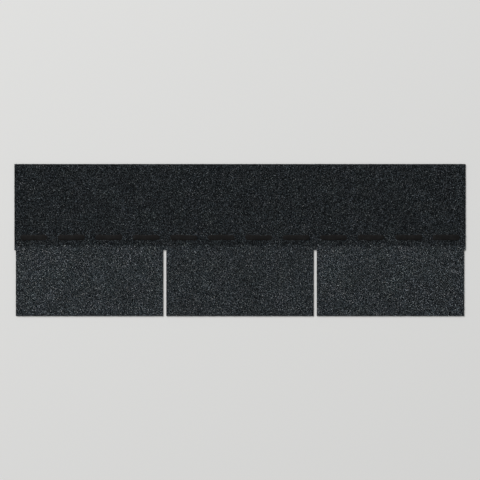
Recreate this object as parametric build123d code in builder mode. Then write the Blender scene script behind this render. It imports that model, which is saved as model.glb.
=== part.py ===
from build123d import *
import os

# Three-tab asphalt strip shingle, as it lies on a level floor with its mineral face up.
# Millimetres. X runs along the strip, Y from the butt edge up to the top edge, and Z up.
# The origin is under the middle of the strip, on the plane of its back.

# The sheet
STRIP_LENGTH = 1000.0
EXPOSURE = 143.0  # the height of tab that stays in sight once the next course is laid
HEADLAP = 51.0  # how far a strip reaches under the course after the next
SHEET_THICKNESS = 3.0  # over the granules
TAB_COUNT = 3
CORNER_RADIUS = 1.2  # what the cutting die leaves at the outer corners

# The slots between the tabs, with half a slot at each end of the strip
SLOT_WIDTH = 6.4
SLOT_OVERCUT = 3.0  # a slot runs on this far under the next course
SLOT_HEAD_RADIUS = 1.5

# The self-sealing strip: a row of adhesive dashes on the face
DASH_LENGTH = 60.0
DASH_WIDTH = 12.0
DASH_HEIGHT = 1.0
DASH_SHOULDER = 0.7  # the rounding of a dash's upper rim
DASH_GAP = 23.0
NAILING_BAND = 22.0  # kept free of adhesive for the nails, from the slot heads upwards

# The release tape, pressed flush into the back
TAPE_WIDTH = 25.0
TAPE_THICKNESS = 0.05
TAPE_CLEARANCE = 4.5  # from the slot heads up to the tape's lower edge

strip_width = 2 * EXPOSURE + HEADLAP
butt_edge = -strip_width / 2
slot_depth = EXPOSURE + SLOT_OVERCUT
slot_head = butt_edge + slot_depth
tab_pitch = STRIP_LENGTH / TAB_COUNT
dash_pitch = DASH_LENGTH + DASH_GAP
dash_count = int(STRIP_LENGTH // dash_pitch)
dash_line = slot_head + NAILING_BAND + DASH_WIDTH / 2
# Bundled strips are turned end for end, one over the next. This height puts
# each one's tape over its neighbour's adhesive, and clear of its own slots.
tape_line = slot_head + TAPE_CLEARANCE + TAPE_WIDTH / 2

# The outline that the die cuts in one stroke: the strip, its slots and the half slots at its ends.
with BuildSketch() as die_cut:
    Rectangle(STRIP_LENGTH, strip_width)
    slot_places = [(i * tab_pitch - STRIP_LENGTH / 2, butt_edge + slot_depth / 2) for i in range(TAB_COUNT + 1)]
    with Locations(*slot_places):
        Rectangle(SLOT_WIDTH, slot_depth, mode=Mode.SUBTRACT)
    corner_rows = die_cut.vertices().group_by(Axis.Y)
    outer_corners = corner_rows[0] + corner_rows[-1]
    slot_corners = corner_rows[1].sort_by(Axis.X)[1:-1]
    fillet(outer_corners, min(CORNER_RADIUS, 0.45 * SLOT_WIDTH))
    fillet(slot_corners, min(SLOT_HEAD_RADIUS, 0.45 * SLOT_WIDTH))

# The tape runs the strip's full length.
with BuildSketch() as tape_outline:
    with Locations((0, tape_line)):
        Rectangle(STRIP_LENGTH, TAPE_WIDTH)

# Sheet: glass mat, asphalt and granules are pressed into one piece.
with BuildPart() as shingle:
    add(die_cut.sketch)
    extrude(amount=SHEET_THICKNESS)
    add(tape_outline.sketch)
    extrude(amount=TAPE_THICKNESS, mode=Mode.SUBTRACT)

# Adhesive dashes, laid on the face above the nailing band and pressed flat on top.
with BuildPart() as sealant_strip:
    with BuildSketch(Plane.XY.offset(SHEET_THICKNESS)):
        with Locations((0, dash_line)):
            with GridLocations(dash_pitch, DASH_WIDTH, dash_count, 1):
                SlotOverall(DASH_LENGTH, DASH_WIDTH)
    extrude(amount=DASH_HEIGHT)
    upper_rims = sealant_strip.faces().group_by(Axis.Z)[-1].edges()
    fillet(upper_rims, min(DASH_SHOULDER, 0.9 * DASH_HEIGHT))

# Release tape, filling its shallow seat in the back.
with BuildPart() as release_tape:
    add(tape_outline.sketch)
    extrude(amount=TAPE_THICKNESS)

os.makedirs("parts", exist_ok=True)
shingle.part.label = "shingle"
sealant_strip.part.label = "sealant_strip"
release_tape.part.label = "release_tape"
export_step(shingle.part, "parts/shingle.step")
export_step(sealant_strip.part, "parts/sealant_strip.step")
export_step(release_tape.part, "parts/release_tape.step")
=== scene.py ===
"""The looks of a three-tab asphalt strip shingle: sheet, granules, adhesive dashes and release tape."""

import math

import bpy
import numpy as np
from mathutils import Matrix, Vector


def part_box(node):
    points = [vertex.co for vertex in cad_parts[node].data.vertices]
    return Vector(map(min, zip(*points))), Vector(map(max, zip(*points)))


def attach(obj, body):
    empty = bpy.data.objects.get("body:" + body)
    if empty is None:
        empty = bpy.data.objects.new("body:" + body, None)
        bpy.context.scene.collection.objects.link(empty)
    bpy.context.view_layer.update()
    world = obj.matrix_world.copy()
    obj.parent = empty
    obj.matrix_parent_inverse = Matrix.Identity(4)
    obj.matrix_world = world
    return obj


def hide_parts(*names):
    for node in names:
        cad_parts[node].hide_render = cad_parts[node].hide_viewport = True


bl_info = {
    "name": "Three-Tab Asphalt Shingle",
    "version": (1, 0, 0),
    "blender": (4, 5, 0),
    "location": "View3D > Sidebar > Shingle",
    "description": "Dresses a strip shingle with granules, cut edges, adhesive and release tape",
    "category": "Object",
}

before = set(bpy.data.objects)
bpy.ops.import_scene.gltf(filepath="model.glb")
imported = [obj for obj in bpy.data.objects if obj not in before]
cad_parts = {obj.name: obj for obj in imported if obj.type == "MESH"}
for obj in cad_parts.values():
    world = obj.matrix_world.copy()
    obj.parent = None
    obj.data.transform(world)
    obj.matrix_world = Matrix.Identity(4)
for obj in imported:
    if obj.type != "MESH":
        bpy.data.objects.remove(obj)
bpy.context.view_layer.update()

# Metres throughout. X runs along the strip, Y from the butt edge to the top edge, and Z out of the
# granule face.
BODY = "root"
MM = 0.001
SEED = 1843
TINY = 1e-12
SHEET_LOW, SHEET_HIGH = (np.array(corner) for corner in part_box("shingle"))
DASH_LOW, DASH_HIGH = (np.array(corner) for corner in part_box("sealant_strip"))
TAPE_LOW, TAPE_HIGH = (np.array(corner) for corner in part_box("release_tape"))

# The granules are kept in three pieces along the strip.
SIDES = ("left", "middle", "right")

# The outline and the cut edge
ARC_POINTS = 5  # on a rounded corner
EDGE_LEVELS = (0.0, 0.12, 0.4, 0.7, 0.9, 1.0)  # of the cut edge's profile, as shares of its height
EDGE_WEAR = (1.0, 0.3, 0.0, 0.1, 0.4, 1.0)  # how far each level is worn back, in rim wears
EDGE_INSET = 1.5  # how far the ragged edge lies behind the die cut on average, in edge tears

# How coarse granules differ: ranges and spreads as shares of the plain granule
COARSE_SIZE_SPREAD = 0.13
COARSE_FOOT = (0.86, 1.20)  # radii of the wide triangle in the asphalt
COARSE_TOP = (0.52, 0.86)  # radii of the smaller triangle on top
COARSE_STRETCH = (1.0, 1.4)
COARSE_STRETCH_SHARE = 0.8  # how much of the stretch is carried out
COARSE_LEAN_SPREAD = 0.17  # slope of the top
COARSE_HEIGHT = (0.62, 1.38)
COARSE_CORNER_HEIGHT = (0.75, 1.2)
COARSE_LEAST_HEIGHT = 0.1

# How fine granules differ
FINE_SIZE_SPREAD = 0.15
FINE_FOOT = (0.8, 1.35)
FINE_SINK = 0.6  # as a share of the coarse granules' sink
FINE_TIP = 0.35  # how far the tip strays from the middle, in radii
FINE_HEIGHT = (0.6, 1.4)

# The colour blend: where each colour stands in the mixture, from the darkest granule to the palest
CHARCOAL_PLACE = 0.38
SLATE_PLACE = 0.54
ASH_PLACE = 0.87
BRIGHTNESS_POWER = 2.5  # few granules are light
BED_PAINTED_SHADE = 0.40  # painted shade on the fines between the granules: they are that much darker
TAB_SHADES = (1.09, 0.87, 1.02)  # from tab to tab
HEADLAP_SHADE = 0.66
HEADLAP_TONE = 0.95
HEADLAP_TONE_POWER = 1.5
WARM_SPREAD = 0.030  # from granule to granule
GREEN_SPREAD = 0.012
TONE_FLOOR = 0.2  # what the darkest tone still counts for when granules are sorted by brightness
CELL_MARGIN = 0.12  # blank rim of a granule's UV cell, as a share of the cell

# Slow patches in the granules' colour: strength, and reach in metres
WIDE_SHADE, WIDE_SHADE_REACH = 0.07, 0.16
SMALL_SHADE, SMALL_SHADE_REACH = 0.03, 0.05
HEADLAP_PATCH, HEADLAP_PATCH_REACH = 0.06, 0.09
WARM_PATCH, WARM_PATCH_REACH = 0.010, 0.06
GREEN_PATCH, GREEN_PATCH_REACH = 0.012, 0.08

# The adhesive dashes
END_NARROWING = 0.004  # the square of the width that is left at a dash's tip, as a share
SIDE_POWER = 0.7  # powers of the superellipse
TOP_POWER = 0.6
CROWN_HEIGHT = 0.88  # of the room under the CAD dash's top
CROWN_SPREAD = 0.04
LUMP_REACH = 3 * MM
DASH_SINK = 0.1 * MM  # a dash's flat bottom lies that deep in the asphalt

# The release film
FILM_GAP = 0.03 * MM  # from the sheet's back to the film's highest wrinkle
FILM_SEAT = 0.1 * MM  # the film's inner side lies that deep in the sheet
LONG_WRINKLE = 0.03
SHORT_WRINKLE = 0.011
WRINKLE_STRETCH = 3  # the long wrinkles run along the strip


def length(name, description, default, low=0.0, high=10.0):
    """A length that a user would change, in metres."""
    return bpy.props.FloatProperty(
        name=name, description=description, default=default, min=low, max=high,
        unit="LENGTH", precision=5)


def number(name, description, default, low=0.0, high=1.0):
    """A plain number that a user would change."""
    return bpy.props.FloatProperty(
        name=name, description=description, default=default, min=low, max=high, precision=3)


def whole(name, description, default, low):
    """A whole number that a user would change."""
    return bpy.props.IntProperty(name=name, description=description, default=default, min=low)


def colour(name, description, default):
    """A colour that a user would change."""
    return bpy.props.FloatVectorProperty(
        name=name, description=description, default=default, min=0.0, max=1.0, size=3, subtype="COLOR")


class ShingleOutline(bpy.types.PropertyGroup):
    """The die-cut outline and the sheet's section."""

    tab_count: whole("Tabs", "Tabs along the strip", 3, low=1)
    slot_width: length("Slot width", "Width of the cutouts between the tabs", 6.4 * MM)
    slot_depth: length("Slot depth", "From the butt edge to the slot heads", 146 * MM)
    slot_head_radius: length("Slot head radius", "Rounding of a slot's inner corners", 1.5 * MM)
    corner_radius: length("Corner radius", "Rounding of the outer corners", 1.2 * MM)
    granule_relief: length("Granule relief", "Depth of the asphalt below the granules' tops", 0.5 * MM)
    back_rise: length("Back rise", "Room under the back for the tape's wrinkles", 0.15 * MM)
    edge_step: length("Edge step", "Spacing of the points along the cut edge", 1.5 * MM)
    edge_tear: length("Edge tear", "How far the cut edge is ragged", 0.10 * MM)
    rim_wear: length("Rim wear", "How far the rims of the cut edge are rounded back", 0.22 * MM)


class ShingleGranules(bpy.types.PropertyGroup):
    """The mineral granules."""

    tab_spacing: length("Tab spacing", "Distance between neighbouring granules on the tabs", 1.40 * MM)
    headlap_spacing: length("Headlap spacing", "The same on the headlap, which is coarser", 1.75 * MM)
    scatter: number("Scatter", "How far a granule strays each way, in steps of the lattice", 0.5)
    evenness: number("Evenness", "How far light granules keep apart: 0 leaves it to chance", 0.7)
    coarse_share: number("Coarse share", "Share of coarse granules", 0.40)
    coarse_width: number("Coarse width", "Width of a coarse granule, in spacings", 1.17, high=3.0)
    fine_width: number("Fine width", "Width of a fine granule, in spacings", 0.90, high=3.0)
    coarse_rise: length("Coarse rise", "How far a coarse granule stands out of the asphalt", 0.45 * MM)
    fine_rise: length("Fine rise", "How far a fine granule stands out of the asphalt", 0.36 * MM)
    sink: length("Sink", "How deep a granule is pressed into the asphalt", 0.25 * MM)
    edge_overhang: length("Edge overhang", "How far granules may stand over the cut edge", 0.45 * MM)
    blend_end: length("Blend end", "How far above the slot heads the tabs' colour blend ends", 9 * MM)
    blend_fade: length("Blend fade", "Width of the band where dark granules take over", 7 * MM)
    soot: colour("Soot", "Darkest granules of the blend", (0.0014, 0.0026, 0.0032))
    charcoal: colour("Charcoal", "Dark granules of the blend", (0.0052, 0.0082, 0.0097))
    slate: colour("Slate", "Middle granules of the blend", (0.0460, 0.0585, 0.0660))
    ash: colour("Ash", "Lighter granules of the blend", (0.1300, 0.1515, 0.1680))
    pale: colour("Pale", "Rare pale granules of the blend", (0.4100, 0.4450, 0.4680))


class ShingleSealant(bpy.types.PropertyGroup):
    """The adhesive dashes."""

    dash_length: length("Dash length", "Length of an adhesive dash", 60 * MM)
    dash_gap: length("Dash gap", "Gap between two dashes", 23 * MM)
    wander: length("Wander", "How far a dash's edge strays from the plain outline", 0.4 * MM)
    fringe: length("Fringe", "How far it creeps out between the granules", 0.16 * MM)
    lumps: length("Lumps", "How far the granules beneath show through its top", 0.07 * MM)
    stations: whole("Stations", "Sections along a dash", 56, low=8)
    section_points: whole("Section points", "Points round a section", 22, low=8)
    tar: colour("Tar", "Colour of the adhesive", (0.0045, 0.0043, 0.0041))


class ShingleTape(bpy.types.PropertyGroup):
    """The release tape on the back."""

    crinkle: length("Crinkle", "Height of the tape's wrinkles", 0.1 * MM)
    cell: length("Cell", "Spacing of the points along the tape", 2.0 * MM)
    hem: length("Hem", "Width of the flat strip along the tape's edges", 0.25 * MM)
    film: colour("Film", "Colour of the film where it lies on the asphalt", (0.030, 0.031, 0.032))
    blister: colour("Blister", "Colour of the film where air lies under it", (0.26, 0.27, 0.28))


class ShingleStage(bpy.types.PropertyGroup):
    """Floor, lamps and camera."""

    floor_colour: colour("Floor", "Colour of the floor", (0.72, 0.72, 0.71))
    floor_size: length("Floor size", "Width of the floor", 16.0, high=100.0)
    picture_share: number("Picture share", "Share of the picture's width that the strip fills", 0.94)
    lens: number("Lens", "Focal length in millimetres", 180.0, low=20.0, high=1000.0)
    sky_strength: number("Sky strength", "Strength of the soft light from all round", 0.38, high=5.0)
    key_power: number("Key power", "Power of the softbox in watts", 1370.0, high=100000.0)
    key_size: length("Key size", "Width of the softbox", 8.0, high=50.0)
    key_place: bpy.props.FloatVectorProperty(
        name="Key place", description="Place of the softbox, which shines on the origin",
        default=(-5.0, 7.0, 8.4), size=3, subtype="TRANSLATION", unit="LENGTH")


SETTINGS = {
    "shingle_outline": ShingleOutline,
    "shingle_granules": ShingleGranules,
    "shingle_sealant": ShingleSealant,
    "shingle_tape": ShingleTape,
    "shingle_stage": ShingleStage,
}


def slot_head(outline):
    """Y of the slot heads."""
    return SHEET_LOW[1] + outline.slot_depth


def slot_middles(outline):
    """X of every slot's middle, the two half slots at the ends among them."""
    return np.linspace(SHEET_LOW[0], SHEET_HIGH[0], outline.tab_count + 1)


def unit(vector):
    """The vector at length one."""
    return vector / np.linalg.norm(vector)


def rounded_path(corners, radii, step):
    """Closed path through the corners, each rounded with its radius, with points about a step apart.

    A corner's arc touches both its edges at radius / tan(half the inner angle) from it. Its points are
    those of the chord between the two places, moved out to the radius.
    """
    corner_count = len(corners)
    pieces = []
    for i in range(corner_count):
        corner = corners[i]
        next_corner = corners[(i + 1) % corner_count]
        back = unit(corners[i - 1] - corner)
        ahead = unit(next_corner - corner)
        radius = radii[i]
        half_angle = 0.5 * math.acos(float(back @ ahead))
        reach = radius / math.tan(half_angle)
        middle = corner + unit(back + ahead) * radius / math.sin(half_angle)
        start = corner + back * reach - middle
        end = corner + ahead * reach - middle
        turn = np.linspace(0.0, 1.0, ARC_POINTS if radius > 0 else 1)[:, None]
        arc = start * (1 - turn) + end * turn
        arc *= radius / np.maximum(np.linalg.norm(arc, axis=1, keepdims=True), TINY)
        pieces.append(middle + arc)
        next_half = 0.5 * math.acos(float(-ahead @ unit(corners[(i + 2) % corner_count] - next_corner)))
        run_start = corner + ahead * reach
        run_end = next_corner - ahead * radii[(i + 1) % corner_count] / math.tan(next_half)
        steps = max(2, round(float(np.linalg.norm(run_end - run_start)) / step))
        along = np.linspace(0.0, 1.0, steps + 1)[1:-1, None]
        pieces.append(run_start * (1 - along) + run_end * along)
    return np.concatenate(pieces)


def die_cut_corners(outline):
    """Corners of the die-cut outline and their radii, anticlockwise from the first tab's lower left."""
    low, high, head = SHEET_LOW[1], SHEET_HIGH[1], slot_head(outline)
    half = outline.slot_width / 2
    outer, inner = outline.corner_radius, outline.slot_head_radius
    middles = slot_middles(outline)
    corners = []
    for left, right in zip(middles[:-1], middles[1:]):
        corners += [(left + half, low, outer), (right - half, low, outer)]
        if right < SHEET_HIGH[0] - half:
            corners += [(right - half, head, inner), (right + half, head, inner)]
    corners += [(SHEET_HIGH[0] - half, head, inner), (SHEET_HIGH[0], head, 0.0)]
    corners += [(SHEET_HIGH[0], high, outer), (SHEET_LOW[0], high, outer)]
    corners += [(SHEET_LOW[0], head, 0.0), (SHEET_LOW[0] + half, head, inner)]
    table = np.array(corners)
    return table[:, :2], table[:, 2]


def inside_die_cut(outline, x, y, margin):
    """True where a point lies in the outline, at least the margin from its edges."""
    inside = (x > SHEET_LOW[0] + margin) & (x < SHEET_HIGH[0] - margin)
    inside &= (y > SHEET_LOW[1] + margin) & (y < SHEET_HIGH[1] - margin)
    from_slot = np.abs(x[:, None] - slot_middles(outline)).min(axis=1)
    in_slot = (from_slot < outline.slot_width / 2 + margin) & (y < slot_head(outline) + margin)
    return inside & ~in_slot


def smooth_ring(rng, rows, count, passes):
    """Random heights of about one standard deviation round a closed path, smoothed along it."""
    values = rng.normal(size=(rows, count))
    for _ in range(passes):
        values = (np.roll(values, 1, axis=1) + 2 * values + np.roll(values, -1, axis=1)) / 4
    return values / values.std()


def patchiness(x, y, rng, reach, waves=7):
    """Slow, smooth variation: a sum of plane waves, each 0.6 to 1.5 times the reach in length."""
    total = np.zeros_like(x)
    for heading, phase, stretch in rng.uniform(0, 1, size=(waves, 3)):
        angle = 2 * math.pi * heading
        wavelength = reach * (0.6 + 0.9 * stretch)
        across = x * math.cos(angle) + y * math.sin(angle)
        total += np.cos(2 * math.pi * (across / wavelength + phase))
    return total * math.sqrt(2 / waves)


def new_object(name, mesh, materials, replaced=None):
    """Puts a finished mesh into the scene as a piece that rides on the shingle's body."""
    piece = bpy.data.objects.new(name, mesh)
    bpy.context.scene.collection.objects.link(piece)
    for material in materials:
        mesh.materials.append(material)
    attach(piece, BODY)
    if replaced:
        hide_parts(replaced)


def triangle_mesh(name, points, triangles, smooth=False):
    """A mesh of triangles from two arrays."""
    mesh = bpy.data.meshes.new(name)
    mesh.vertices.add(len(points))
    mesh.vertices.foreach_set("co", np.ascontiguousarray(points, np.float32).ravel())
    mesh.loops.add(triangles.size)
    mesh.loops.foreach_set("vertex_index", np.ascontiguousarray(triangles, np.int32).ravel())
    mesh.polygons.add(len(triangles))
    mesh.polygons.foreach_set("loop_start", np.arange(0, triangles.size, 3, dtype=np.int32))
    mesh.update(calc_edges=True)
    if not smooth:
        mesh.shade_flat()
    return mesh


class Shader:
    """A new node material with helpers that add and join nodes."""

    def __init__(self, name):
        self.material = bpy.data.materials.new(name)
        self.material.use_nodes = True
        self.tree = self.material.node_tree
        self.surface = self.tree.nodes["Principled BSDF"]

    def node(self, kind, values=None, **settings):
        """Adds a node with its settings, and sets or joins its inputs."""
        made = self.tree.nodes.new(kind)
        for key, value in settings.items():
            setattr(made, key, value)
        for key, value in (values or {}).items():
            self.feed(made.inputs[key], value)
        return made

    def feed(self, socket, value):
        """Joins an output to the socket, or sets its value."""
        if isinstance(value, bpy.types.NodeSocket):
            self.tree.links.new(value, socket)
        else:
            socket.default_value = value

    def set(self, **values):
        """Sets the surface's sockets, whose names have underscores here in place of blanks."""
        for key, value in values.items():
            self.feed(self.surface.inputs[key.replace("_", " ")], value)

    def place(self, scale=(1.0, 1.0, 1.0)):
        """Object coordinates, stretched by the scale."""
        where = self.node("ShaderNodeTexCoord").outputs["Object"]
        return self.node("ShaderNodeMapping", {"Vector": where, "Scale": scale}).outputs["Vector"]

    def noise(self, vector, scale, detail=2.0, roughness=0.5):
        """Fractal noise from 0 to 1."""
        values = {"Vector": vector, "Scale": scale, "Detail": detail, "Roughness": roughness}
        return self.node("ShaderNodeTexNoise", values).outputs["Fac"]

    def cells(self, vector, scale, feature="F1"):
        """Random cells: the node, with its Color and Distance."""
        return self.node("ShaderNodeTexVoronoi", {"Vector": vector, "Scale": scale}, feature=feature)

    def channel(self, tint, name):
        """Red, green or blue of a colour."""
        return self.node("ShaderNodeSeparateColor", {"Color": tint}).outputs[name]

    def ramp(self, factor, stops):
        """A colour ramp with stops of place and colour."""
        made = self.node("ShaderNodeValToRGB", {"Fac": factor})
        elements = made.color_ramp.elements
        while len(elements) < len(stops):
            elements.new(0.5)
        for element, (place, tint) in zip(elements, stops):
            element.position = place
            element.color = (*tint, 1.0)
        return made.outputs["Color"]

    def spread(self, value, low, high, new_low=0.0, new_high=1.0):
        """Maps a stretch of values to another, clamped."""
        values = {"Value": value, "From Min": low, "From Max": high}
        values.update({"To Min": new_low, "To Max": new_high})
        return self.node("ShaderNodeMapRange", values).outputs["Result"]

    def joined(self, operation, first, second):
        """Two numbers joined by an operation."""
        return self.node("ShaderNodeMath", {0: first, 1: second}, operation=operation).outputs[0]

    def times(self, first, second):
        """Product of two colours."""
        values = {"Factor": 1.0, "A": first, "B": second}
        made = self.node("ShaderNodeMix", values, data_type="RGBA", blend_type="MULTIPLY")
        return made.outputs["Result"]

    def mix(self, factor, first, second):
        """Blend of two colours."""
        values = {"Factor": factor, "A": first, "B": second}
        return self.node("ShaderNodeMix", values, data_type="RGBA").outputs["Result"]

    def bump(self, height, distance, normal=None):
        """Relief of that many metres, on top of another relief if one is given."""
        values = {"Height": height, "Distance": distance, "Strength": 1.0}
        if normal is not None:
            values["Normal"] = normal
        return self.node("ShaderNodeBump", values).outputs["Normal"]


def blend_stops(granules, shade=1.0):
    """The colour blend as ramp stops, darkest granule to palest, times the shade: painted shade on the
    bed.
    """
    stops = (
        (0.0, granules.soot),
        (CHARCOAL_PLACE, granules.charcoal),
        (SLATE_PLACE, granules.slate),
        (ASH_PLACE, granules.ash),
        (1.0, granules.pale),
    )
    return [(place, tuple(shade * part for part in tint)) for place, tint in stops]


def granule_material(granules):
    """Ceramic-coated stone. The tone picks a colour from the blend, and the cast is a factor on it."""
    shader = Shader("granule_blend")
    mottle_size = 0.6 * MM
    tone = shader.node("ShaderNodeAttribute", attribute_name="tone").outputs["Fac"]
    cast = shader.node("ShaderNodeAttribute", attribute_name="cast").outputs["Color"]
    mottle = shader.noise(shader.place(), 1 / mottle_size)
    tint = shader.ramp(tone, blend_stops(granules))
    worn = shader.times(tint, shader.spread(mottle, 0.3, 0.7, 0.85, 1.15))
    shader.set(Base_Color=shader.times(worn, cast), Roughness=0.7, Specular_IOR_Level=0.03)
    return shader.material


def bed_material(granules):
    """What lies between the granules: asphalt packed with fines, sunk, and darkened with painted shade."""
    shader = Shader("asphalt_bed")
    fines_size, fines_relief = 0.95 * MM, 0.35 * MM
    dust_size, dust_relief = 0.45 * MM, 0.1 * MM
    place = shader.place()
    fines = shader.cells(place, 1 / fines_size)
    dust = shader.cells(place, 1 / dust_size)
    # The fines take the granules' blend, darkened all over by painted shade, as if sunk in the granules'
    # shadow.
    tint = shader.ramp(shader.channel(fines.outputs["Color"], "Red"), blend_stops(granules, BED_PAINTED_SHADE))
    # Painted shade: darker from each fine's middle out to the crevices around it.
    gap = shader.spread(fines.outputs["Distance"], 0.25, 0.62, 1.0, 0.12)
    shader.set(Base_Color=shader.times(tint, gap), Roughness=0.85, Specular_IOR_Level=0.08)
    relief = shader.bump(fines.outputs["Distance"], -fines_relief)
    shader.set(Normal=shader.bump(dust.outputs["Distance"], -dust_relief, normal=relief))
    return shader.material


def cut_edge_material():
    """Die-cut asphalt: black, with the glass mat as a paler line of fibres, and crumbs of stone."""
    shader = Shader("cut_edge")
    black, brown = (0.006, 0.006, 0.006, 1), (0.022, 0.021, 0.020, 1)
    stone_grey, glass = (0.075, 0.078, 0.080, 1), (0.135, 0.128, 0.115, 1)
    mat_low, mat_middle, mat_high = 0.7 * MM, 1.2 * MM, 1.7 * MM
    crumb_size, crumb_relief, fibre_relief = 0.7 * MM, 0.15 * MM, 0.25 * MM
    where = shader.node("ShaderNodeTexCoord").outputs["Object"]
    height = shader.node("ShaderNodeSeparateXYZ", {"Vector": where}).outputs["Z"]
    fibres = shader.noise(shader.place((1.0, 1.0, 9.0)), 420.0, detail=3.0, roughness=0.65)
    crumbs = shader.cells(shader.place(), 1 / crumb_size)
    rising = shader.spread(height, mat_low, mat_middle)
    falling = shader.spread(height, mat_middle, mat_high, 1.0, 0.0)
    mat_line = shader.joined("MINIMUM", rising, falling)
    mat_share = shader.joined("MULTIPLY", mat_line, shader.spread(fibres, 0.40, 0.60))
    asphalt = shader.mix(shader.spread(fibres, 0.35, 0.7), black, brown)
    stone_share = shader.spread(shader.channel(crumbs.outputs["Color"], "Green"), 0.82, 0.86)
    speckled = shader.mix(stone_share, asphalt, stone_grey)
    shader.set(Base_Color=shader.mix(mat_share, speckled, glass))
    shader.set(Roughness=shader.spread(fibres, 0.3, 0.75, 0.55, 0.9))
    relief = shader.bump(fibres, fibre_relief)
    shader.set(Normal=shader.bump(crumbs.outputs["Distance"], -crumb_relief, normal=relief))
    return shader.material


def dusted_back_material():
    """The back: asphalt pressed with fine sand and mineral dust, in faint streaks along the strip."""
    shader = Shader("dusted_back")
    bare, dusted, clouded = (0.013, 0.013, 0.013, 1), (0.038, 0.038, 0.037, 1), (0.052, 0.052, 0.050, 1)
    grain_factors = [(0.0, (0.2, 0.2, 0.2)), (0.7, (0.9, 0.9, 0.9)), (1.0, (2.6, 2.6, 2.5))]
    sand_size, sand_relief, streak_relief = 0.55 * MM, 0.18 * MM, 0.25 * MM
    place = shader.place()
    streaks = shader.noise(shader.place((0.12, 1.0, 1.0)), 60.0, detail=4.0, roughness=0.6)
    clouds = shader.noise(place, 14.0, detail=3.0, roughness=0.55)
    sand = shader.cells(place, 1 / sand_size)
    dust = shader.mix(shader.spread(streaks, 0.35, 0.7), bare, dusted)
    dusty = shader.mix(shader.spread(clouds, 0.3, 0.75), dust, clouded)
    grains = shader.ramp(shader.channel(sand.outputs["Color"], "Red"), grain_factors)
    shader.set(Base_Color=shader.times(dusty, grains), Specular_IOR_Level=0.3)
    shader.set(Roughness=shader.spread(clouds, 0.3, 0.7, 0.75, 0.95))
    relief = shader.bump(sand.outputs["Distance"], -sand_relief)
    shader.set(Normal=shader.bump(streaks, streak_relief, normal=relief))
    return shader.material


def tar_material(sealant):
    """Black asphalt adhesive, with a skin that is dull and dusty in patches."""
    shader = Shader("adhesive_tar")
    dusty = (0.012, 0.012, 0.012, 1)
    stone_size, stone_relief, skin_relief, pit_relief = 2.2 * MM, 0.16 * MM, 0.18 * MM, 0.03 * MM
    place = shader.place()
    skin = shader.noise(place, 130.0, detail=3.0, roughness=0.55)
    pits = shader.noise(place, 1100.0)
    stones = shader.cells(place, 1 / stone_size, "SMOOTH_F1")
    tint = shader.mix(shader.spread(skin, 0.5, 0.8), (*sealant.tar, 1), dusty)
    shader.set(Base_Color=tint, Specular_IOR_Level=0.11)
    shader.set(Roughness=shader.spread(skin, 0.35, 0.7, 0.44, 0.66))
    relief = shader.bump(skin, skin_relief)
    relief = shader.bump(stones.outputs["Distance"], -stone_relief, normal=relief)
    shader.set(Normal=shader.bump(pits, pit_relief, normal=relief))
    return shader.material


def film_material(tape):
    """Clear plastic film: dark where it lies on the asphalt, silvery where air lies under it."""
    shader = Shader("release_film")
    pull_relief, crease_relief = 0.9 * MM, 0.22 * MM
    air = shader.noise(shader.place((0.35, 1.0, 1.0)), 95.0, detail=4.0, roughness=0.6)
    creases = shader.noise(shader.place((0.15, 1.0, 1.0)), 380.0)
    pulls = shader.noise(shader.place((0.5, 1.6, 1.0)), 120.0, detail=1.0, roughness=0.4)
    tint = shader.mix(shader.spread(air, 0.54, 0.78), (*tape.film, 1), (*tape.blister, 1))
    shader.set(Base_Color=tint, Coat_Weight=0.3)
    shader.set(Roughness=shader.spread(air, 0.3, 0.7, 0.18, 0.34))
    relief = shader.bump(pulls, pull_relief)
    shader.set(Normal=shader.bump(creases, crease_relief, normal=relief))
    return shader.material


def floor_material(stage):
    """A plain, matte, pale floor."""
    shader = Shader("studio_floor")
    shader.set(Base_Color=(*stage.floor_colour, 1), Roughness=1.0, Specular_IOR_Level=0.0)
    return shader.material


def sheet_mesh(outline, rng):
    """The asphalt sheet: a cut-edge profile carried along the die-cut outline, closed above and below.

    Each level of the profile follows the outline, drawn in by the wear of the rims, and strays from it by
    a smooth random tear of its own.
    """
    corners, radii = die_cut_corners(outline)
    path = rounded_path(corners, radii, outline.edge_step)
    ahead = np.roll(path, -1, axis=0) - np.roll(path, 1, axis=0)
    outward = np.stack([ahead[:, 1], -ahead[:, 0]], axis=1)
    outward /= np.linalg.norm(outward, axis=1, keepdims=True)
    levels, count = len(EDGE_LEVELS), len(path)
    wear = outline.rim_wear * np.array(EDGE_WEAR)
    bottom = SHEET_LOW[2] + outline.back_rise
    top = SHEET_HIGH[2] - outline.granule_relief
    tear = outline.edge_tear * smooth_ring(rng, levels, count, 2)
    inward = wear[:, None] + outline.edge_tear * EDGE_INSET - tear
    flat = path[None] - outward[None] * inward[..., None]
    rise = bottom + (top - bottom) * np.array(EDGE_LEVELS)
    heights = np.broadcast_to(rise[:, None, None], (levels, count, 1))
    points = np.concatenate([flat, heights], axis=2).reshape(-1, 3)
    row, column = np.meshgrid(np.arange(levels - 1), np.arange(count), indexing="ij")
    beside = (column + 1) % count
    wall = np.stack([row * count + column, row * count + beside,
                     (row + 1) * count + beside, (row + 1) * count + column], axis=-1).reshape(-1, 4)
    back_face = list(range(count - 1, -1, -1))
    bed_face = list(range((levels - 1) * count, levels * count))
    mesh = bpy.data.meshes.new("sheet")
    mesh.from_pydata(points.tolist(), [], [*wall.tolist(), back_face, bed_face])
    surfaces = np.zeros(len(wall) + 2, np.int32)
    surfaces[-2:] = (1, 2)
    mesh.polygons.foreach_set("material_index", surfaces)
    mesh.update()
    return mesh


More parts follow.
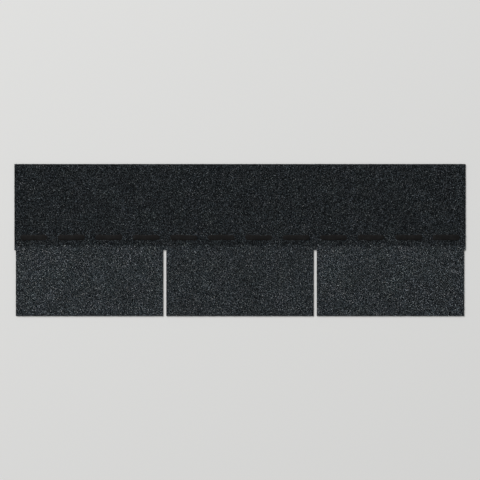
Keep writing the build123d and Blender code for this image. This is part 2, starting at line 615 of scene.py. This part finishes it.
def coarse_granules(x, y, bed, spacing, granules, rng):
    """Angular chips of eight faces: a wide triangle in the asphalt, joined to a smaller one on top.

    The upper triangle is turned by 60 degrees. Both have uneven radii, the whole is drawn out along one
    heading, and the top leans.
    """
    count = len(x)
    size = np.exp(rng.normal(0.0, COARSE_SIZE_SPREAD, count))[:, None]
    radius = granules.coarse_width * spacing / 2 * size
    turn = rng.uniform(0, 2 * math.pi, count)[:, None]
    corner = turn + np.arange(3) * 2 * math.pi / 3
    low_radius = radius * rng.uniform(*COARSE_FOOT, (count, 3))
    top_radius = radius * rng.uniform(*COARSE_TOP, (count, 3))
    low = np.stack([low_radius * np.cos(corner), low_radius * np.sin(corner)], axis=2)
    top_corner = corner + math.pi / 3
    top = np.stack([top_radius * np.cos(top_corner), top_radius * np.sin(top_corner)], axis=2)
    flat = np.concatenate([low, top], axis=1)
    heading = rng.uniform(0, math.pi, count)
    stretch = rng.uniform(*COARSE_STRETCH, count)
    along = np.stack([np.cos(heading), np.sin(heading)], axis=1)
    reach = np.einsum("nkc,nc->nk", flat, along)
    flat = flat + (reach * (stretch - 1)[:, None])[..., None] * along[:, None] * COARSE_STRETCH_SHARE
    lean = rng.normal(0.0, COARSE_LEAN_SPREAD, (count, 2))
    rise = granules.coarse_rise * rng.uniform(*COARSE_HEIGHT, (count, 1))
    rise = rise * rng.uniform(*COARSE_CORNER_HEIGHT, (count, 3))
    rise = rise + np.einsum("nkc,nc->nk", flat[:, 3:], lean)
    z = np.empty((count, 6))
    z[:, :3] = -granules.sink
    z[:, 3:] = np.maximum(rise, COARSE_LEAST_HEIGHT * granules.coarse_rise)
    points = np.empty((count, 6, 3))
    points[..., :2] = flat + np.stack([x, y], axis=1)[:, None]
    points[..., 2] = z + bed
    foot, crown = [[0, 2, 1]], [[3, 4, 5]]
    flanks = [[0, 1, 3], [1, 2, 4], [2, 0, 5], [1, 4, 3], [2, 5, 4], [0, 3, 5]]
    return points, np.array(foot + crown + flanks)


def fine_granules(x, y, bed, spacing, granules, rng):
    """Small splinters of four faces: an uneven triangle in the asphalt, and a tip off its middle."""
    count = len(x)
    size = np.exp(rng.normal(0.0, FINE_SIZE_SPREAD, count))[:, None]
    radius = granules.fine_width * spacing / 2 * size
    corner = rng.uniform(0, 2 * math.pi, count)[:, None] + np.arange(3) * 2 * math.pi / 3
    ring = radius * rng.uniform(*FINE_FOOT, (count, 3))
    points = np.empty((count, 4, 3))
    points[:, :3, 0] = x[:, None] + ring * np.cos(corner)
    points[:, :3, 1] = y[:, None] + ring * np.sin(corner)
    points[:, :3, 2] = bed - FINE_SINK * granules.sink
    points[:, 3, 0] = x + rng.uniform(-FINE_TIP, FINE_TIP, count) * radius[:, 0]
    points[:, 3, 1] = y + rng.uniform(-FINE_TIP, FINE_TIP, count) * radius[:, 0]
    points[:, 3, 2] = bed + granules.fine_rise * rng.uniform(*FINE_HEIGHT, count)
    faces = np.array([[0, 2, 1], [0, 1, 3], [1, 2, 3], [2, 0, 3]])
    return points, faces


def even_blend(shape, evenness, rng):
    """A place in the colour blend, from 0 to 1, for every point of the staggered lattice.

    Each point draws a brightness, a power of a chance number, so that few are light. It takes off a share
    of its six neighbours' mean, which keeps light granules apart more than chance would. The ranks of the
    results are the places.
    """
    draw = rng.uniform(size=shape) ** BRIGHTNESS_POWER
    beyond = np.roll(draw, 1, axis=0) + np.roll(draw, -1, axis=0)
    shifted_row = (np.arange(shape[0]) % 2 == 1)[:, None]
    beside = np.where(shifted_row, np.roll(beyond, -1, axis=1), np.roll(beyond, 1, axis=1))
    neighbours = (np.roll(draw, 1, axis=1) + np.roll(draw, -1, axis=1) + beyond + beside) / 6
    order = np.argsort((draw - evenness * neighbours).ravel())
    places = np.empty(order.size)
    places[order] = (np.arange(order.size) + 0.5) / order.size
    return places


def granule_colours(outline, granules, x, y, tone, rng):
    """Each granule's tone, its place in the colour blend, and its cast, a factor on red, green and blue.

    Every tab has a shade of its own, and slow patches of shade, warmth and green run through all of them.
    Above the slots the blend gives way, granule by granule, to the darker mixture of the headlap.
    """
    along = (x - SHEET_LOW[0]) / (SHEET_HIGH[0] - SHEET_LOW[0])
    tab = np.clip((along * outline.tab_count).astype(int), 0, outline.tab_count - 1)
    tab_shade = np.array(TAB_SHADES)[tab % len(TAB_SHADES)]
    wide = WIDE_SHADE * patchiness(x, y, rng, WIDE_SHADE_REACH)
    small = SMALL_SHADE * patchiness(x, y, rng, SMALL_SHADE_REACH)
    shade = tab_shade * (1 + wide + small)
    above = y - slot_head(outline) - granules.blend_end
    dark = above / granules.blend_fade + 0.5 > rng.uniform(0, 1, len(x))
    tone = np.where(dark, tone ** HEADLAP_TONE_POWER * HEADLAP_TONE, tone)
    headlap_shade = HEADLAP_SHADE * (1 + HEADLAP_PATCH * patchiness(x, y, rng, HEADLAP_PATCH_REACH))
    shade = np.where(dark, headlap_shade, shade)
    warmth = WARM_SPREAD * rng.normal(size=len(x)) + WARM_PATCH * patchiness(x, y, rng, WARM_PATCH_REACH)
    green = GREEN_SPREAD * rng.normal(size=len(x)) + GREEN_PATCH * patchiness(x, y, rng, GREEN_PATCH_REACH)
    cast = np.stack([1 + warmth, 1 + green, 1 - warmth], axis=1) * shade[:, None]
    return tone, cast


def palette_cells(brightness):
    """Lower left corner and width of one square cell of the UV square for each granule.

    The cells lie row by row in the order of brightness, so that neighbours may run together unseen.
    """
    side = math.ceil(math.sqrt(len(brightness)))
    place = np.empty(len(brightness), int)
    place[np.argsort(brightness)] = np.arange(len(brightness))
    return np.stack([place % side, place // side], axis=1) / side, 1 / side


def granule_piece(name, groups, material):
    """Joins groups of like granules into one mesh, with a UV cell and the colours of each granule."""
    brightness = np.concatenate([(tone + TONE_FLOOR) * cast[:, 1] for _, _, tone, cast in groups])
    corners, width = palette_cells(brightness)
    all_points, all_triangles, all_uv, all_tone, all_cast = [], [], [], [], []
    first_point, first_granule = 0, 0
    for points, faces, tone, cast in groups:
        count, per_granule = points.shape[:2]
        flat = points[..., :2]
        low, high = flat.min(axis=1, keepdims=True), flat.max(axis=1, keepdims=True)
        place = (flat - low) / (high - low)
        cell = corners[first_granule:first_granule + count, None]
        uv = cell + width * (CELL_MARGIN + (1 - 2 * CELL_MARGIN) * place)
        starts = first_point + np.arange(count) * per_granule
        all_points.append(points.reshape(-1, 3))
        all_triangles.append((starts[:, None, None] + faces[None]).reshape(-1, 3))
        all_uv.append(uv[:, faces].reshape(-1, 2))
        all_tone.append(np.repeat(tone, per_granule))
        all_cast.append(np.repeat(cast, per_granule, axis=0))
        first_point += count * per_granule
        first_granule += count
    mesh = triangle_mesh(name, np.concatenate(all_points), np.concatenate(all_triangles))
    places = np.concatenate(all_uv).astype(np.float32).ravel()
    mesh.uv_layers.new(name="OFBake").uv.foreach_set("vector", places)
    tones = np.concatenate(all_tone).astype(np.float32)
    mesh.attributes.new("tone", "FLOAT", "POINT").data.foreach_set("value", tones)
    factors = np.concatenate(all_cast).astype(np.float32).ravel()
    mesh.attributes.new("cast", "FLOAT_VECTOR", "POINT").data.foreach_set("vector", factors)
    new_object(name, mesh, [material])


def dash_spans(sealant):
    """Start and end along X of every adhesive dash, evenly from end to end of the CAD dashes."""
    reach = DASH_HIGH[0] - DASH_LOW[0]
    count = round((reach + sealant.dash_gap) / (sealant.dash_length + sealant.dash_gap))
    starts = np.linspace(DASH_LOW[0], DASH_HIGH[0] - sealant.dash_length, count)
    return [(start, start + sealant.dash_length) for start in starts]


def dash_points(start, end, bed, sealant, rng):
    """One adhesive dash: a squashed section carried along X, which narrows to a tip at both rounded ends.

    Half the width at a place is that of the plain rounded outline, plus a slow random wander and a quick
    fringe. The section is a superellipse with a flat bottom. Its height falls off towards the ends, and
    its top rises and sinks a little with the granules beneath. The section starts at its crown, so that
    the fans over the ends, which start there too, have no face without area on the flat bottom.
    """
    stations, around = sealant.stations, sealant.section_points
    half_length, half_width = (end - start) / 2, (DASH_HIGH[1] - DASH_LOW[1]) / 2
    height = DASH_HIGH[2] - bed
    step = np.linspace(-1, 1, stations)
    along = half_length * np.sin(step * math.pi / 2)
    past = np.maximum(np.abs(along) - (half_length - half_width), 0) / half_width
    round_off = np.sqrt(np.maximum(1 - past ** 2, END_NARROWING))
    wander = sealant.wander * smooth_ring(rng, 2, stations, 12)
    fringe = sealant.fringe * smooth_ring(rng, 2, stations, 1)
    left, right = (wander + fringe) * round_off
    angle = np.roll(np.linspace(0, 2 * math.pi, around, endpoint=False), -(around // 4))
    across = np.sign(np.cos(angle)) * np.abs(np.cos(angle)) ** SIDE_POWER
    up = np.where(np.sin(angle) > 0, np.abs(np.sin(angle)) ** TOP_POWER, 0.0)
    plain = half_width * round_off
    reach = np.where(across[None] > 0, (plain + right)[:, None], (plain + left)[:, None])
    swell = CROWN_HEIGHT + CROWN_SPREAD * smooth_ring(rng, 1, stations, 12)[0]
    crown = height * swell * round_off ** 0.5
    x = (start + end) / 2 + np.broadcast_to(along[:, None], (stations, around))
    y = (DASH_LOW[1] + DASH_HIGH[1]) / 2 + reach * across[None]
    lump = sealant.lumps * patchiness(x, y, rng, LUMP_REACH, waves=12)
    z = bed - DASH_SINK + (crown[:, None] + lump * round_off[:, None]) * up[None]
    return np.stack([x, y, np.minimum(z, DASH_HIGH[2])], axis=2)


def tube_triangles(stations, around, first):
    """Triangles of a closed tube of sections, with a fan over each end."""
    row, column = np.meshgrid(np.arange(stations - 1), np.arange(around), indexing="ij")
    beside = (column + 1) % around
    a, b = row * around + column, row * around + beside
    c, d = (row + 1) * around + beside, (row + 1) * around + column
    one_half = np.stack([a, b, c], axis=-1).reshape(-1, 3)
    other_half = np.stack([a, c, d], axis=-1).reshape(-1, 3)
    fan = np.arange(1, around - 1)
    start_cap = np.stack([np.zeros_like(fan), fan + 1, fan], axis=1)
    end_cap = (stations - 1) * around + np.stack([np.zeros_like(fan), fan, fan + 1], axis=1)
    return np.concatenate([one_half, other_half, start_cap, end_cap]) + first


class SHINGLE_OT_sheet(bpy.types.Operator):
    """Build the asphalt sheet with its ragged die-cut edges"""

    bl_idname = "shingle.sheet"
    bl_label = "Build Sheet"

    def execute(self, context):
        outline = context.scene.shingle_outline
        granules = context.scene.shingle_granules
        mesh = sheet_mesh(outline, np.random.default_rng(SEED))
        materials = [cut_edge_material(), dusted_back_material(), bed_material(granules)]
        new_object("sheet", mesh, materials, replaced="shingle")
        return {"FINISHED"}


class SHINGLE_OT_granules(bpy.types.Operator):
    """Press the mineral granules into the face, tab by tab"""

    bl_idname = "shingle.granules"
    bl_label = "Scatter Granules"

    def execute(self, context):
        outline = context.scene.shingle_outline
        granules = context.scene.shingle_granules
        rng = np.random.default_rng(SEED + 1)
        material = granule_material(granules)
        bed = SHEET_HIGH[2] - outline.granule_relief
        borders = np.linspace(SHEET_LOW[0], SHEET_HIGH[0], len(SIDES) + 1)
        seam = slot_head(outline) + granules.blend_end
        zones = (
            ("tab", SHEET_LOW[1], seam, granules.tab_spacing),
            ("headlap", seam, SHEET_HIGH[1], granules.headlap_spacing),
        )
        for zone, low, high, spacing in zones:
            x, y, tone = self.places(outline, granules, low, high, spacing, rng)
            tone, cast = granule_colours(outline, granules, x, y, tone, rng)
            coarse = rng.uniform(0, 1, len(x)) < granules.coarse_share
            for side, start, end in zip(SIDES, borders[:-1], borders[1:]):
                within = (x >= start) & (x < end)
                groups = []
                for maker, grade in ((coarse_granules, coarse), (fine_granules, ~coarse)):
                    here = within & grade
                    points, faces = maker(x[here], y[here], bed, spacing, granules, rng)
                    groups.append((points, faces, tone[here], cast[here]))
                granule_piece(f"granules_{zone}_{side}", groups, material)
        return {"FINISHED"}

    def places(self, outline, granules, low, high, spacing, rng):
        """Places on a staggered lattice from low to high along Y, in the outline, each strayed at random.

        With them comes each granule's tone.
        """
        row_count = round((high - low) / (spacing * math.sqrt(3) / 2))
        row_step = (high - low) / row_count
        rows = low + row_step * (np.arange(row_count) + 0.5)
        columns = np.arange(SHEET_LOW[0], SHEET_HIGH[0], spacing)
        x, y = np.meshgrid(columns, rows)
        x = x + np.where(np.arange(row_count) % 2, spacing / 2, 0.0)[:, None]
        stray_x, stray_y = rng.uniform(-1, 1, (2, *x.shape)) * granules.scatter
        tone = even_blend(x.shape, granules.evenness, rng)
        x, y = (x + stray_x * spacing).ravel(), (y + stray_y * row_step).ravel()
        margin = granules.coarse_width * spacing / 2 - granules.edge_overhang
        keep = inside_die_cut(outline, x, y, margin)
        return x[keep], y[keep], tone[keep]


class SHINGLE_OT_sealant(bpy.types.Operator):
    """Lay the adhesive dashes on the granules above the nailing band"""

    bl_idname = "shingle.sealant"
    bl_label = "Lay Adhesive"

    def execute(self, context):
        sealant = context.scene.shingle_sealant
        rng = np.random.default_rng(SEED + 2)
        bed = SHEET_HIGH[2] - context.scene.shingle_outline.granule_relief
        points, triangles = [], []
        per_dash = sealant.stations * sealant.section_points
        for i, (start, end) in enumerate(dash_spans(sealant)):
            points.append(dash_points(start, end, bed, sealant, rng).reshape(-1, 3))
            triangles.append(tube_triangles(sealant.stations, sealant.section_points, i * per_dash))
        points, triangles = np.concatenate(points), np.concatenate(triangles)
        mesh = triangle_mesh("sealant_dashes", points, triangles, smooth=True)
        new_object("sealant_dashes", mesh, [tar_material(sealant)], replaced="sealant_strip")
        return {"FINISHED"}


class SHINGLE_OT_tape(bpy.types.Operator):
    """Lay the release tape on the back"""

    bl_idname = "shingle.tape"
    bl_label = "Lay Release Tape"

    def execute(self, context):
        tape = context.scene.shingle_tape
        outline = context.scene.shingle_outline
        rng = np.random.default_rng(SEED + 3)
        mesh = triangle_mesh("release_film", *self.film(tape, outline, rng), smooth=True)
        new_object("release_film", mesh, [film_material(tape)], replaced="release_tape")
        return {"FINISHED"}

    def film(self, tape, outline, rng):
        """The film as a flat loop round its section: wrinkled outside, and seated in the sheet inside."""
        x = self.stops(TAPE_LOW[0], TAPE_HIGH[0], tape)
        y = self.stops(TAPE_LOW[1], TAPE_HIGH[1], tape)
        stations, across = len(x), len(y)
        there, over = np.meshgrid(x, y, indexing="ij")
        long_wrinkle = patchiness(there, over * WRINKLE_STRETCH, rng, LONG_WRINKLE)
        short_wrinkle = patchiness(there, over, rng, SHORT_WRINKLE)
        wrinkle = np.clip(0.5 + 0.25 * long_wrinkle + 0.25 * short_wrinkle, 0, 1)
        outer = SHEET_LOW[2] + outline.back_rise - FILM_GAP - tape.crinkle * wrinkle
        inner = np.full_like(outer, SHEET_LOW[2] + outline.back_rise + FILM_SEAT)
        section = np.stack([np.concatenate([there, there[:, ::-1]], axis=1),
                            np.concatenate([over, over[:, ::-1]], axis=1),
                            np.concatenate([outer, inner[:, ::-1]], axis=1)], axis=2)
        return section.reshape(-1, 3), tube_triangles(stations, 2 * across, 0)

    def stops(self, low, high, tape):
        """Even steps from low to high, with one more close to each end, where the film turns over."""
        inner = np.linspace(low + tape.hem, high - tape.hem, round((high - low) / tape.cell) + 1)
        return np.concatenate([[low], inner, [high]])


class SHINGLE_OT_stage(bpy.types.Operator):
    """Set the pale floor, the soft lamps and the camera that looks straight down"""

    bl_idname = "shingle.stage"
    bl_label = "Set Stage"

    def execute(self, context):
        stage = context.scene.shingle_stage
        self.floor(context, stage)
        self.lamps(context, stage)
        self.camera(context, stage)
        context.scene.view_settings.view_transform = "Standard"
        return {"FINISHED"}

    def floor(self, context, stage):
        """A square of floor under the shingle's back."""
        half = stage.floor_size / 2
        corners = np.array([[-half, -half, 0], [half, -half, 0], [half, half, 0], [-half, half, 0]])
        mesh = triangle_mesh("floor", corners, np.array([[0, 1, 2], [0, 2, 3]]))
        mesh.materials.append(floor_material(stage))
        floor = bpy.data.objects.new("floor", mesh)
        context.scene.collection.objects.link(floor)

    def lamps(self, context, stage):
        """Light from all round, and a softbox from above the top edge and a little to the left."""
        world = bpy.data.worlds.new("studio")
        world.use_nodes = True
        background = world.node_tree.nodes["Background"]
        background.inputs["Color"].default_value = (1.0, 1.0, 1.0, 1.0)
        background.inputs["Strength"].default_value = stage.sky_strength
        context.scene.world = world
        light = bpy.data.lights.new("softbox", "AREA")
        light.energy = stage.key_power
        light.size = stage.key_size
        lamp = bpy.data.objects.new("softbox", light)
        lamp.location = stage.key_place
        lamp.rotation_euler = (-lamp.location).to_track_quat("-Z", "Y").to_euler()
        lamp.visible_camera = False
        context.scene.collection.objects.link(lamp)

    def camera(self, context, stage):
        """Looks straight down with the butt edge at the foot of the picture."""
        data = bpy.data.cameras.new("camera")
        data.lens = stage.lens
        data.clip_end = 100.0
        camera = bpy.data.objects.new("camera", data)
        view_width = (SHEET_HIGH[0] - SHEET_LOW[0]) / stage.picture_share
        camera.location = (0.0, 0.0, view_width * data.lens / data.sensor_width)
        context.scene.collection.objects.link(camera)
        context.scene.camera = camera


class SHINGLE_PT_panel(bpy.types.Panel):
    """The shingle's pieces and their settings"""

    bl_idname = "SHINGLE_PT_panel"
    bl_label = "Strip Shingle"
    bl_space_type = "VIEW_3D"
    bl_region_type = "UI"
    bl_category = "Shingle"

    def draw(self, context):
        for settings, operator in zip(SETTINGS, OPERATORS):
            box = self.layout.box()
            for key in getattr(context.scene, settings).__annotations__:
                box.prop(getattr(context.scene, settings), key)
            box.operator(operator.bl_idname)


OPERATORS = (
    SHINGLE_OT_sheet,
    SHINGLE_OT_granules,
    SHINGLE_OT_sealant,
    SHINGLE_OT_tape,
    SHINGLE_OT_stage,
)
CLASSES = (*SETTINGS.values(), *OPERATORS, SHINGLE_PT_panel)


def register():
    """Registers the classes and gives the scene their settings."""
    for cls in CLASSES:
        bpy.utils.register_class(cls)
    for name, settings in SETTINGS.items():
        setattr(bpy.types.Scene, name, bpy.props.PointerProperty(type=settings))


def unregister():
    """Takes back what register did."""
    for name in SETTINGS:
        delattr(bpy.types.Scene, name)
    for cls in reversed(CLASSES):
        bpy.utils.unregister_class(cls)


def main():
    """Builds every piece and the stage."""
    register()
    bpy.ops.shingle.sheet()
    bpy.ops.shingle.granules()
    bpy.ops.shingle.sealant()
    bpy.ops.shingle.tape()
    bpy.ops.shingle.stage()


if __name__ == "__main__":
    main()
